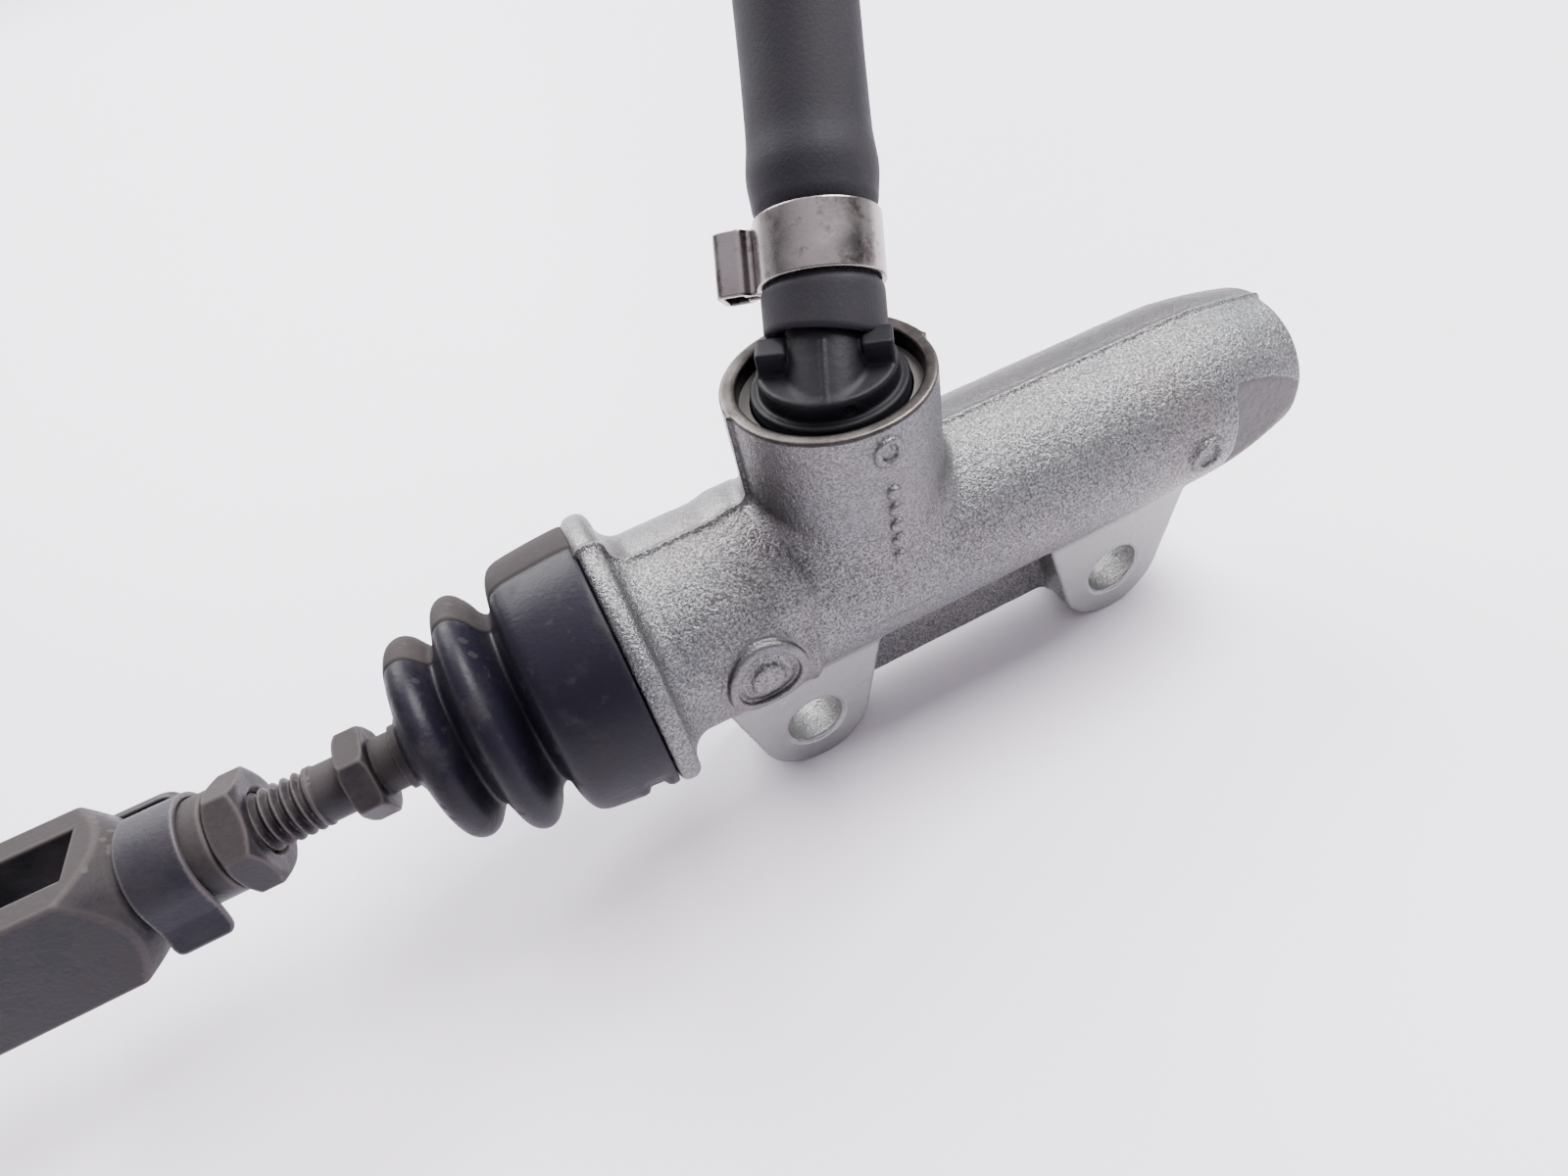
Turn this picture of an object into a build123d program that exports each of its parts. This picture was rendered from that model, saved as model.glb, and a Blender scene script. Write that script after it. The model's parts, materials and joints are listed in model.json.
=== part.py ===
from build123d import *
import os
from math import cos, radians, sin, tan

# Rear brake master cylinder for a motorcycle, in millimetres.
#
# Each piece is drawn with the bore along X, the inlet boss along Z and the two axes crossing
# at the origin: the outlet is towards +X, the boss opens towards +Z, and the mounting face
# looks towards +Y. place() then moves every piece so that the origin is the middle of the
# two mounting holes, on the mounting face.

# ---- Driving dimensions ----------------------------------------------------------------

# Mounting: two lugs for M6 screws
HOLE_SPACING = 40.0
HOLE_R = 3.3
LEFT_HOLE_X = -10.0
HOLE_Z = -17.8
LUG_R = 6.7
LUG_FRONT_Y = -5.2
LUG_BACK_Y = 4.8
LUG_FOOT_HALF = 10.0
WEB_FRONT_Y = -0.5
WEB_BOTTOM_Z = -21.0

# Housing outside
REAR_R = 10.4
FRONT_R = 9.85
STEP_X = -9.1
FLANGE_R = 13.9
FLANGE_X = (-26.1, -23.9)
SPIGOT_R = 10.0
MOUTH_X = -32.5
OUTLET_X = 50.2
# The front barrel's taper to the outlet: (x, radius)
TAPER = [(38.0, 9.85), (43.0, 9.5), (46.0, 8.98), (49.3, 8.25)]
FLATS_X = 40.2
FLATS_HALF = 8.0

# Bore
BORE_R = 6.0
BORE_X = (-24.0, 34.0)
MOUTH_R = 8.2
STROKE = 8.0
PORT_X = 38.0
PORT_R = 4.5
PASSAGE_R = 2.0
RETAINER_GROOVE = (-26.9, -25.6)
SPRING_R = 4.6
SPRING_WIRE_R = 0.6
SPRING_TURNS = 8
SPRING_SEAT_X = 2.6

# Inlet boss and elbow
BOSS_R = 9.5
BOSS_TOP_Z = 20.7
BOSS_BORE_R = 8.28
BOSS_FLOOR_Z = 8.6
BOSS_FILLET = 2.2
ELBOW_RING_Z = (18.05, 19.05)
O_RING_GROOVE_Z = (12.0, 14.4)
ELBOW_DISC_R = 6.2
ELBOW_EAR_X = (-1.3, 1.5)
ELBOW_EAR_Y = (3.2, 5.9)
ELBOW_EAR_Z = 24.5
ELBOW_TURN = 28.5
HOSE_RISE = 45.0
BEND_Z = 18.65
SPIGOT_OUT_R = 3.45
SPIGOT_END = 22.0

# Hose and clamps
HOSE_R = 5.5
HOSE_BORE_R = 3.5
HOSE_START = 5.4
CLAMP_SPAN = (9.4, 15.2)
CLAMP_R = 5.2
CLAMP_T = 0.55
EAR_TURN = -8.0
EAR_HALF = 1.5
EAR_REACH = 3.6
RIM_GAP = 0.3

# Pushrod, nut and clevis
ROD_R = 3.0
BALL_R = 3.9
BALL_X = -21.0
LIP_GROOVE = (-47.4, -45.4)
HEX_AF = 8.0
HEX_X = (-53.0, -50.3)
HEX_TURN = -4.5
ROD_COLLAR = (-48.3, -47.4)
NUT_AF = 10.0
NUT_X = (-64.1, -60.9)
NUT_TURN = -27.0
ROD_END_X = -71.0
THREAD_END_X = -56.0
NECK_R = 4.9
NECK_X = -64.2
FORK_X = (-94.2, -72.55)
FORK_AF = 12.0
SLOT_W = 6.0
SLOT_X = -74.7
PIN_X = -87.2
PIN_R = 3.0
FORK_ROLL = -9.0
CLIP_X = (-71.2, -66.1)
CLIP_T = 0.6
CLIP_SIDE_Y = 6.1
CLIP_SIDE_T = 0.8

# Clearances
RUNNING = 0.05

ORIGIN = Vector(LEFT_HOLE_X + HOLE_SPACING / 2, LUG_BACK_Y, HOLE_Z)

os.makedirs("parts", exist_ok=True)


# ---- Helpers ---------------------------------------------------------------------------

def turned(*outline):
    """A solid turned about the bore axis from its outline of (x, radius) points."""
    return revolve(Plane.XZ * make_face(Polyline(*outline, close=True)), Axis.X)


def bar(x_from, x_to, radius, bore=0.0):
    """A round bar or a tube along the bore axis."""
    return turned((x_from, bore), (x_to, bore), (x_to, radius), (x_from, radius))


def upright(z_from, z_to, radius, bore=0.0):
    """A round bar or a tube along the boss axis."""
    ring = Circle(radius)
    if bore:
        ring -= Circle(bore)
    return extrude(Plane.XY.offset(z_from) * ring, z_to - z_from)


def hexagon(x_from, x_to, across_flats, turn):
    """A hexagonal bar along the bore axis, turned about it, with chamfered corners at both ends."""
    section = Rot(0, 0, turn) * RegularPolygon(across_flats / 2, 6, major_radius=False)
    prism = extrude(Plane.YZ.offset(x_from) * section, x_to - x_from)
    corner = across_flats / 2 / cos(radians(30))
    edge = 0.35 * (corner - across_flats / 2) + across_flats / 2
    run = (corner - edge) * tan(radians(30))
    barrel = turned((x_from, 0), (x_to, 0), (x_to, edge), (x_to - run, corner),
                    (x_from + run, corner), (x_from, edge))
    return prism & barrel


def block(low, high):
    """A box between two opposite corners."""
    size = [high[i] - low[i] for i in range(3)]
    middle = [(high[i] + low[i]) / 2 for i in range(3)]
    return Pos(*middle) * Box(*size)


def place(name, shape):
    """Moves a piece to the frame of the part and writes it."""
    solids = (Pos(*(-ORIGIN)) * shape).solids()
    moved = solids[0] if len(solids) == 1 else Compound(children=list(solids))
    moved.label = name
    export_step(moved, f"parts/{name}.step")


# ---- Housing ---------------------------------------------------------------------------

def cylinder_body():
    barrel = turned(
        (STEP_X - 8, 0), (OUTLET_X, 0), (OUTLET_X, TAPER[-1][1] - 0.9), (OUTLET_X - 0.3, TAPER[-1][1] - 0.35),
        *reversed(TAPER), (STEP_X - 8, FRONT_R),
    )
    joined = barrel + upright(0, BOSS_TOP_Z, BOSS_R)
    crossing = joined.edges().filter_by(GeomType.BSPLINE)
    joined = fillet(crossing, BOSS_FILLET)

    neck = FLANGE_X[1]
    rear = turned(
        (MOUTH_X, 0), (STEP_X + 0.5, 0), (STEP_X + 0.5, FRONT_R - 0.05), (STEP_X, REAR_R),
        (neck + 3.0, REAR_R), (neck + 1.3, REAR_R + 0.7), (neck + 0.4, REAR_R + 2.0),
        (neck, FLANGE_R), (FLANGE_X[0], FLANGE_R), (FLANGE_X[0], SPIGOT_R + 0.2),
        (FLANGE_X[0] - 2.2, SPIGOT_R + 0.2), (FLANGE_X[0] - 2.2, SPIGOT_R - 0.7),
        (MOUTH_X + 2.1, SPIGOT_R - 0.7), (MOUTH_X + 1.7, SPIGOT_R), (MOUTH_X + 0.5, SPIGOT_R),
        (MOUTH_X, SPIGOT_R - 0.5),
    )
    rim = rear.edges().filter_by(GeomType.CIRCLE).filter_by(lambda e: abs(e.radius - FLANGE_R) < 0.01)
    joined += fillet(rim, 0.85)

    joined += lugs()

    for side in (-1, 1):
        joined -= block((FLATS_X, min(side * FLATS_HALF, side * 15), -15),
                        (OUTLET_X + 1, max(side * FLATS_HALF, side * 15), 15))

    joined -= bar(MOUTH_X - 1, BORE_X[0], MOUTH_R)
    joined -= turned((BORE_X[0] - 0.1, 0), (BORE_X[1] + 3.0, 0), (BORE_X[1], BORE_R),
                     (BORE_X[0] - 0.1, BORE_R))
    joined -= bar(*RETAINER_GROOVE, MOUTH_R + 0.7)
    joined -= bar(BORE_X[1], PORT_X + 0.1, PASSAGE_R)
    joined -= turned((PORT_X - 1.5, 0), (PORT_X, PORT_R), (OUTLET_X - 0.6, PORT_R),
                     (OUTLET_X + 0.1, PORT_R + 0.7), (OUTLET_X + 0.1, 0))

    joined -= upright(BOSS_FLOOR_Z, BOSS_TOP_Z - 0.3, BOSS_BORE_R)
    joined -= Pos(0, 0, BOSS_TOP_Z - 0.25) * Cone(BOSS_BORE_R, BOSS_BORE_R + 0.5, 0.5)
    joined -= upright(ELBOW_RING_Z[0] - 0.05, ELBOW_RING_Z[1] + 0.05, BOSS_BORE_R + 0.5)
    joined -= Pos(-3.5, 0, 0) * upright(0, BOSS_FLOOR_Z + 1, 0.9)
    joined -= Pos(2.2, 0, 0) * upright(0, BOSS_FLOOR_Z + 1, 0.35)
    return joined


def lugs():
    """Two tapered ears and the recessed web that joins them."""
    both = block((LEFT_HOLE_X, WEB_FRONT_Y, WEB_BOTTOM_Z), (LEFT_HOLE_X + HOLE_SPACING, LUG_BACK_Y, -6))
    holes = []
    for x in (LEFT_HOLE_X, LEFT_HOLE_X + HOLE_SPACING):
        foot = Line((x - LUG_FOOT_HALF, -5.5), (x + LUG_FOOT_HALF, -5.5))
        tip = CenterArc((x, HOLE_Z), LUG_R, 0, 360)
        ear = Plane.XZ.offset(-LUG_BACK_Y) * make_hull([foot, *tip.edges()])
        both += extrude(ear, LUG_BACK_Y - LUG_FRONT_Y)
        holes.append(Plane.XZ.offset(-LUG_BACK_Y - 1) * Pos(x, HOLE_Z) * Circle(HOLE_R))
    for hole in holes:
        both -= extrude(hole, LUG_BACK_Y - LUG_FRONT_Y + 2)
    return both - bar(MOUTH_X, OUTLET_X, FRONT_R - 1.5)


def stop_washer():
    return bar(RETAINER_GROOVE[1], BORE_X[0], MOUTH_R - RUNNING, ROD_R + 0.5)


def retaining_ring():
    """An open internal ring with two eyes, at the bottom of the mouth."""
    x_from = RETAINER_GROOVE[0] + 0.05
    x_to = RETAINER_GROOVE[1] - 0.05
    ring = bar(x_from, x_to, MOUTH_R + 0.65, MOUTH_R - 1.1)
    gap = block((x_from - 1, -1.6, -12), (x_to + 1, 1.6, 0))
    ring -= gap
    for side in (-1, 1):
        eye = Plane.YZ.offset(x_from) * Pos(side * 2.5, -6.3) * (Circle(1.25) - Circle(0.55))
        ring += extrude(eye, x_to - x_from)
    return ring


# ---- Piston group ----------------------------------------------------------------------

PISTON_X = (BORE_X[0] + 0.1, -2.5)
REAR_CUP_X = (-20.0, -17.0)


def piston():
    head = PISTON_X[1]
    solid = turned(
        (PISTON_X[0], 0), (head, 0), (head, BORE_R - RUNNING), (head - 1.6, BORE_R - RUNNING),
        (head - 1.6, 4.3), (-9.0, 4.3), (-9.0, BORE_R - RUNNING),
        (REAR_CUP_X[1], BORE_R - RUNNING), (REAR_CUP_X[1], 4.4), (REAR_CUP_X[0], 4.4),
        (REAR_CUP_X[0], BORE_R - RUNNING), (PISTON_X[0], BORE_R - RUNNING),
    )
    solid -= Pos(BALL_X, 0, 0) * Sphere(BALL_R + RUNNING)
    solid -= bar(PISTON_X[0] - 1, BALL_X, BALL_R + RUNNING)
    solid += bar(head, 1.9, 2.0)
    for turn in range(0, 360, 60):
        solid -= Rot(turn, 0, 0) * Pos(head - 0.8, 0, 5.1) * Rot(0, 90, 0) * Cylinder(0.45, 3)
    return solid


def cup_washer():
    return bar(-2.5, -2.2, BORE_R - 0.3, 2.05)


def primary_cup():
    """A cup seal with its lip towards the outlet."""
    return turned((-2.2, 2.0), (-0.9, 2.0), (-0.6, 4.4), (1.3, 4.9), (1.3, 5.9), (-0.4, 5.85),
                  (-2.2, 5.5))


def secondary_cup():
    return turned((REAR_CUP_X[0], 4.4), (REAR_CUP_X[1], 4.4), (REAR_CUP_X[1] - 0.3, 5.9),
                  (REAR_CUP_X[1] - 0.9, 5.9), (REAR_CUP_X[1] - 1.4, 5.2), (REAR_CUP_X[0], 5.5))


def spring_seat():
    """A flanged cap pressed on the piston's nose, which centres the spring."""
    face = SPRING_SEAT_X
    return turned((-0.5, 2.0), (face - 0.7, 2.0), (face - 0.7, 0), (face, 0), (face, 3.4),
                  (face - 0.7, 3.9), (face - 0.7, 4.2), (face - 1.6, 4.2), (face - 1.6, 2.7), (-0.5, 2.7))


SPRING_LENGTH = BORE_X[1] - SPRING_SEAT_X - 2 * SPRING_WIRE_R - 2 * RUNNING


def return_spring():
    path = Helix(pitch=SPRING_LENGTH / SPRING_TURNS, height=SPRING_LENGTH, radius=SPRING_R)
    coil = sweep(Plane(origin=path @ 0, z_dir=path % 0) * Circle(SPRING_WIRE_R), path=path)
    return Pos(SPRING_SEAT_X + SPRING_WIRE_R, 0, 0) * Rot(0, 90, 0) * coil


# ---- Pushrod side ----------------------------------------------------------------------

def pushrod():
    rod = turned(
        (BALL_X, 0), (ROD_END_X, 0), (ROD_END_X, ROD_R - 0.6), (ROD_END_X + 0.6, ROD_R),
        (THREAD_END_X, ROD_R), (THREAD_END_X + 0.3, ROD_R - 0.2), (ROD_COLLAR[0], ROD_R - 0.2),
        (ROD_COLLAR[0], ROD_R + 0.2), (ROD_COLLAR[1], ROD_R + 0.2), (LIP_GROOVE[0], ROD_R - 0.5),
        (LIP_GROOVE[1], ROD_R - 0.5), (LIP_GROOVE[1], ROD_R - 0.1), (BALL_X - 3.4, ROD_R - 0.1),
        (BALL_X - 2.6, ROD_R - 0.4), (BALL_X, ROD_R - 0.4),
    )
    return rod + Pos(BALL_X, 0, 0) * Sphere(BALL_R) + hexagon(*HEX_X, HEX_AF, HEX_TURN)


BOOT_WALL = 1.1
# Crest and valley stations of the bellows, from the housing to the rod: (x, outer radius)
BOOT_SHAPE = [(-33.7, 12.9), (-34.5, 12.1), (-35.5, 8.6), (-36.3, 9.0), (-38.0, 11.8), (-39.3, 11.9),
              (-40.2, 11.0), (-41.2, 8.2), (-41.9, 8.4), (-43.2, 10.1), (-44.6, 10.1), (-45.7, 9.0),
              (-46.6, 4.2)]


def rubber_boot():
    """Bellows with a thick band on the housing's spigot and a lip in the rod's groove."""
    edge = FLANGE_X[0] - 0.1
    outside = [(edge, 13.2), (edge - 0.3, 13.6), (-29.3, 13.4), (-32.1, 13.1), *BOOT_SHAPE]
    lip = [(LIP_GROOVE[0] + 0.1, 4.0), (LIP_GROOVE[0] + 0.1, ROD_R - 0.45),
           (LIP_GROOVE[1] - 0.1, ROD_R - 0.45), (LIP_GROOVE[1] - 0.1, 3.6)]
    inside = [(x + BOOT_WALL * 0.75, r - BOOT_WALL) for x, r in reversed(BOOT_SHAPE[2:-1])]
    band = [(-33.2, 11.2), (-32.6, 10.3), (-30.8, 10.1), (-30.4, 9.35), (-28.35, 9.35),
            (-28.3, 10.25), (edge, 10.25)]
    return turned(*outside, *lip, *inside, *band)


def locknut():
    return hexagon(*NUT_X, NUT_AF, NUT_TURN) - bar(NUT_X[0] - 1, NUT_X[1] + 1, ROD_R)


def clevis():
    neck = turned((NECK_X, 0), (NECK_X, NECK_R - 0.3), (NECK_X - 0.3, NECK_R), (FORK_X[1] + 1.0, NECK_R),
                  (FORK_X[1], NECK_R + 1.0), (FORK_X[1] - 1, NECK_R + 1.0), (FORK_X[1] - 1, 0))
    half = FORK_AF / 2
    fork = block((FORK_X[0], -half, -half), (FORK_X[1] + 0.9, half, half))
    shoulder = turned((FORK_X[1] + 0.9, 0), (FORK_X[1] + 0.9, NECK_R + 0.3), (FORK_X[1] - 2.2, half * 1.42),
                      (FORK_X[0], half * 1.42), (FORK_X[0], 0))
    fork &= shoulder
    body = neck + fork
    body -= block((FORK_X[0] - 1, -SLOT_W / 2, -half - 1), (SLOT_X, SLOT_W / 2, half + 1))
    body -= Pos(PIN_X, 0, 0) * Rot(90, 0, 0) * Cylinder(PIN_R + RUNNING, FORK_AF + 2)
    body -= bar(SLOT_X - 1, NECK_X + 1, ROD_R)
    return Rot(FORK_ROLL, 0, 0) * body


def spring_clip():
    """A C-band over the neck, with a flat arm to the pin and a flared thumb tab."""
    inner = NECK_R + RUNNING
    outer = inner + CLIP_T
    band = bar(*CLIP_X, outer, inner) & block((CLIP_X[0], -9, 0), (CLIP_X[1], 9, 9))
    leg = block((CLIP_X[0], -outer, -2.0), (CLIP_X[1], -inner, 0))
    flare = Plane.YZ.offset(CLIP_X[0]) * make_face(Polyline(
        (-inner, -2.0), (-outer, -2.0), (-outer - 0.7, -4.6), (-outer - 0.2, -4.9), (-inner, -2.9),
        close=True))
    tab = extrude(flare, CLIP_X[1] - CLIP_X[0])
    side = block((PIN_X - 4.2, CLIP_SIDE_Y, -3.0), (CLIP_X[0] + 3.2, CLIP_SIDE_Y + CLIP_SIDE_T, 3.0))
    joggle = block((CLIP_X[0], 0, -2.0), (CLIP_X[0] + 3.2, CLIP_SIDE_Y + 0.1, 2.4))
    joggle -= bar(CLIP_X[0] - 1, CLIP_X[1] + 1, inner)
    hole = Pos(PIN_X, CLIP_SIDE_Y, 0) * Rot(90, 0, 0) * Cylinder(PIN_R - 0.8, 3)
    return Rot(FORK_ROLL, 0, 0) * (band + leg + tab + side + joggle - hole)


def clevis_pin():
    side_out = CLIP_SIDE_Y + CLIP_SIDE_T
    shank = Plane.XZ.offset(5.7) * Circle(PIN_R)
    pin = extrude(shank, -(5.7 + CLIP_SIDE_Y))
    pin += extrude(Plane.XZ.offset(-CLIP_SIDE_Y) * Circle(PIN_R - 0.8), -CLIP_SIDE_T)
    pin += extrude(Plane.XZ.offset(-side_out) * Circle(PIN_R - 0.2), -0.7)
    return Rot(FORK_ROLL, 0, 0) * Pos(PIN_X, 0, 0) * pin


# ---- Inlet elbow, hose and clamps ------------------------------------------------------
# The elbow is drawn with the hose leaving in the plane y = 0 towards +x, then turned.

AHEAD = Rot(0, 0, 90 - ELBOW_TURN)
ALONG = Vector(cos(radians(HOSE_RISE)), 0, sin(radians(HOSE_RISE)))


def leaning(start, end, radius, bore=0.0):
    """A bar or a tube on the hose's first straight, between two distances from the bend."""
    ring = Circle(radius)
    if bore:
        ring -= Circle(bore)
    base = Plane(origin=Vector(0, 0, BEND_Z) + ALONG * start, x_dir=(0, 1, 0), z_dir=ALONG)
    return extrude(base * ring, end - start)


def inlet_elbow():
    plug_top = ELBOW_RING_Z[0] - 0.05
    solid = upright(BOSS_FLOOR_Z + 0.6, plug_top, BOSS_BORE_R - 0.1)
    solid -= upright(*O_RING_GROOVE_Z, BOSS_BORE_R, 6.3)
    solid += upright(plug_top, 20.2, 7.1)
    solid += upright(20.2, 22.0, ELBOW_DISC_R)
    trunk = leaning(0, HOSE_START - 0.1, 3.75) + leaning(0, SPIGOT_END, SPIGOT_OUT_R)
    for barb in (12.0, 19.5):
        base = Plane(origin=Vector(0, 0, BEND_Z) + ALONG * barb, x_dir=(0, 1, 0), z_dir=ALONG)
        trunk += base * Pos(0, 0, 0.8) * Cone(4.0, SPIGOT_OUT_R, 1.6)
    solid += trunk + Pos(0, 0, BEND_Z) * Sphere(3.75)
    rib = Plane.XZ.offset(-0.45) * make_face(Polyline((-6.0, 22.0), (-1.2, 22.0), (2.0, 26.0), close=True))
    solid += extrude(rib, 0.9)
    for side in (-1, 1):
        near, far = sorted((side * ELBOW_EAR_Y[0], side * ELBOW_EAR_Y[1]))
        ear = block((ELBOW_EAR_X[0], near, 20.0), (ELBOW_EAR_X[1], far, ELBOW_EAR_Z))
        solid += ear & upright(19.0, 30.0, ELBOW_DISC_R)
    solid -= leaning(0, SPIGOT_END + 1, 2.2)
    solid -= upright(0, BEND_Z, 3.6)
    solid -= Pos(0, 0, BEND_Z) * Sphere(2.2)
    return AHEAD * solid


def elbow_o_ring():
    return Pos(0, 0, (O_RING_GROOVE_Z[0] + O_RING_GROOVE_Z[1]) / 2) * Torus(7.29, 0.94)


def elbow_circlip():
    ring = upright(*ELBOW_RING_Z, BOSS_BORE_R + 0.45, 7.3)
    gap = block((0, -1.2, 0), (12, 1.2, 30))
    return AHEAD * Rot(0, 0, 180) * (ring - gap)


def bearing(turn, rise):
    """A unit direction: turn is measured from +Y towards +X, rise from the level."""
    level = cos(radians(rise))
    return Vector(level * sin(radians(turn)), level * cos(radians(turn)), sin(radians(rise)))


# The hose leaves the elbow's spigot and sweeps up to the reservoir: (turn, rise, run)
HOSE_RUNS = [(28.5, 45.0, 27.0), (26.0, 57.0, 28.0), (20.0, 71.0, 31.0), (14.0, 82.0, 27.0)]


def hose_route():
    points = [Vector(0, 0, BEND_Z) + bearing(ELBOW_TURN, HOSE_RISE) * HOSE_START]
    for turn, rise, run in HOSE_RUNS:
        points.append(points[-1] + bearing(turn, rise) * run)
    return points


def corner_radii(points):
    radii = []
    for before, corner, after in zip(points, points[1:], points[2:]):
        run_in = corner - before
        run_out = after - corner
        turn = run_in.get_angle(run_out)
        radii.append(0.45 * min(run_in.length, run_out.length) / tan(radians(turn / 2)))
    return radii


def tube(path, radius, bore):
    ring = Circle(radius) - Circle(bore)
    return sweep(Plane(origin=path @ 0, z_dir=path % 0) * ring, path=path)


def feed_hose(path):
    hose = tube(path, HOSE_R, HOSE_BORE_R)
    waist = leaning(*CLAMP_SPAN, HOSE_R + 1, CLAMP_R)
    hose -= AHEAD * waist
    return hose - upright(0, BOSS_TOP_Z + RIM_GAP, BOSS_R + RIM_GAP)


def ear_clamp(inner, width):
    """A one-ear clamp round +Z: a band and a folded ear that stands out towards +X."""
    outer = inner + CLAMP_T
    ear_reach = outer + EAR_REACH
    ear = Pos((outer + ear_reach) / 2 - 0.5, 0) * RectangleRounded(
        ear_reach - outer + 1.0, 2 * EAR_HALF, 0.9)
    ear -= Pos((outer + ear_reach) / 2 - 0.1, 0) * Rectangle(
        ear_reach - outer - 1.0, 2 * (EAR_HALF - CLAMP_T))
    band = extrude(Rot(0, 0, 180) * (Circle(outer) - Circle(inner)), width)
    return band + (extrude(ear, width) - Cylinder(inner + CLAMP_T / 2, 3 * width))


def hose_clamp():
    base = Plane(origin=Vector(0, 0, BEND_Z) + ALONG * CLAMP_SPAN[0], x_dir=(0, 1, 0), z_dir=ALONG)
    return AHEAD * (base * Rot(0, 0, EAR_TURN) * ear_clamp(CLAMP_R, CLAMP_SPAN[1] - CLAMP_SPAN[0]))


def reservoir_end_clamp(path):
    width = CLAMP_SPAN[1] - CLAMP_SPAN[0]
    at = 1 - (width + 5.0) / path.length
    base = Plane(origin=path @ at, x_dir=(1, 0, 0), z_dir=path % at)
    return base * Rot(0, 0, 200) * ear_clamp(HOSE_R + 0.05, width)


# ---- Write every piece -----------------------------------------------------------------

route = hose_route()
radii = corner_radii(route)
hose_path = FilletPolyline(*route, radius=radii)

place("cylinder_body", cylinder_body())
place("stop_washer", stop_washer())
place("retaining_ring", retaining_ring())
place("piston", piston())
place("cup_washer", cup_washer())
place("primary_cup", primary_cup())
place("secondary_cup", secondary_cup())
place("spring_seat", spring_seat())
place("return_spring", return_spring())
place("pushrod", pushrod())
place("rubber_boot", rubber_boot())
place("locknut", locknut())
place("clevis", clevis())
place("spring_clip", spring_clip())
place("clevis_pin", clevis_pin())
place("inlet_elbow", inlet_elbow())
place("elbow_o_ring", elbow_o_ring())
place("elbow_circlip", elbow_circlip())
place("feed_hose", feed_hose(hose_path))
place("hose_clamp", hose_clamp())
place("reservoir_end_clamp", reservoir_end_clamp(hose_path))

print("spring at full stroke", round(SPRING_LENGTH - STROKE, 1), "solid", 2 * SPRING_WIRE_R * SPRING_TURNS)
print("hose length", round(hose_path.length, 1), "arc radii", [round(r, 1) for r in radii])
print("hose route", [tuple(round(c, 2) for c in (p - ORIGIN)) for p in route])
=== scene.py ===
import json
import math

import bpy
import numpy as np
from mathutils import Matrix, Vector, noise


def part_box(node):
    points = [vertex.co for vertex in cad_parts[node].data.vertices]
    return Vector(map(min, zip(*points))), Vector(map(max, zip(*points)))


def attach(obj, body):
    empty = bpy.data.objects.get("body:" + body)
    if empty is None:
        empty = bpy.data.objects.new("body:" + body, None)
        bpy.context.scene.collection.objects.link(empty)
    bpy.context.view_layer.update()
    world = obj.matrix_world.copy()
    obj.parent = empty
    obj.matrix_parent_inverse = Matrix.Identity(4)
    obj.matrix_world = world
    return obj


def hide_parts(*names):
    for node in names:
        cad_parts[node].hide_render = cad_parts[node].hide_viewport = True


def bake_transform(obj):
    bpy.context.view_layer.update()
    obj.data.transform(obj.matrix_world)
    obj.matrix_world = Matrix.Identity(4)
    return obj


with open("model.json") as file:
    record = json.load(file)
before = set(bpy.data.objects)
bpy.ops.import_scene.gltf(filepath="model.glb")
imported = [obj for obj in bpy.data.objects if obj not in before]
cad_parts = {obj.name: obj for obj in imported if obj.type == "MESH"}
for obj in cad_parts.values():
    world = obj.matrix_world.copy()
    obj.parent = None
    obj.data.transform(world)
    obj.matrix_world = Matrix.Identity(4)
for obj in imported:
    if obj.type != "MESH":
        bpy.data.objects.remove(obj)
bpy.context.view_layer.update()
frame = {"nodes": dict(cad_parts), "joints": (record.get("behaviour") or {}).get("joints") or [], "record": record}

# Shapes are drawn in millimetres about the point where the bore axis (X) and the inlet
# boss's axis (Z) cross, and put into the frame with AXIS. A field is a function of x, y, z
# that is negative inside a piece, and roughly the distance to its surface.

MM = 0.001


def mount(name):
    return next(m for m in frame["record"]["mounts"] if m["name"] == name)


def joint(name):
    return next(j for j in frame["joints"] if j["name"] == name)


ring_low, ring_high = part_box("elbow_o_ring")
AXIS = Vector(((ring_low.x + ring_high.x) / 2, *mount("outlet_port")["pos_m"][1:]))

# ---- Camera ----------------------------------------------------------------------------

camera = bpy.data.objects.new("camera", bpy.data.cameras.new("camera"))
bpy.context.scene.collection.objects.link(camera)
bpy.context.scene.camera = camera
camera.data.sensor_width = 36
camera.data.lens = 21.375
camera.data.clip_start = 0.005
camera.location = Vector((-36.29, -68.31, 85.00)) * MM
camera.rotation_euler = [math.radians(a) for a in (42.93, 9.67, -25.85)]

# ---- The hose's route: the same points as the CAD tube's, in millimetres in the frame -------

HOSE_ROUTE = [(-8.18, -1.44, 40.27), (0.93, 15.33, 59.36), (7.62, 29.04, 82.84),
              (11.07, 38.52, 112.15), (11.98, 42.17, 138.89)]
HOSE_R = 5.5
HOSE_BORE_R = 3.5

# the hose's direction as it leaves the elbow: its level part, its rise and its level heading
ALONG = (Vector(HOSE_ROUTE[1]) - Vector(HOSE_ROUTE[0])).normalized()
LEVEL = math.hypot(ALONG.x, ALONG.y)
RISE = ALONG.z
HEAD_X = ALONG.x / LEVEL
HEAD_Y = ALONG.y / LEVEL
# the height at which the hose's line, carried on downwards, meets the boss's axis
LOWER_END = Vector(HOSE_ROUTE[0]) * MM - AXIS
BEND_Z = (LOWER_END - ALONG * (math.hypot(LOWER_END.x, LOWER_END.y) / LEVEL)).z / MM

# ---- Field tools -------------------------------------------------------------------------

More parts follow.
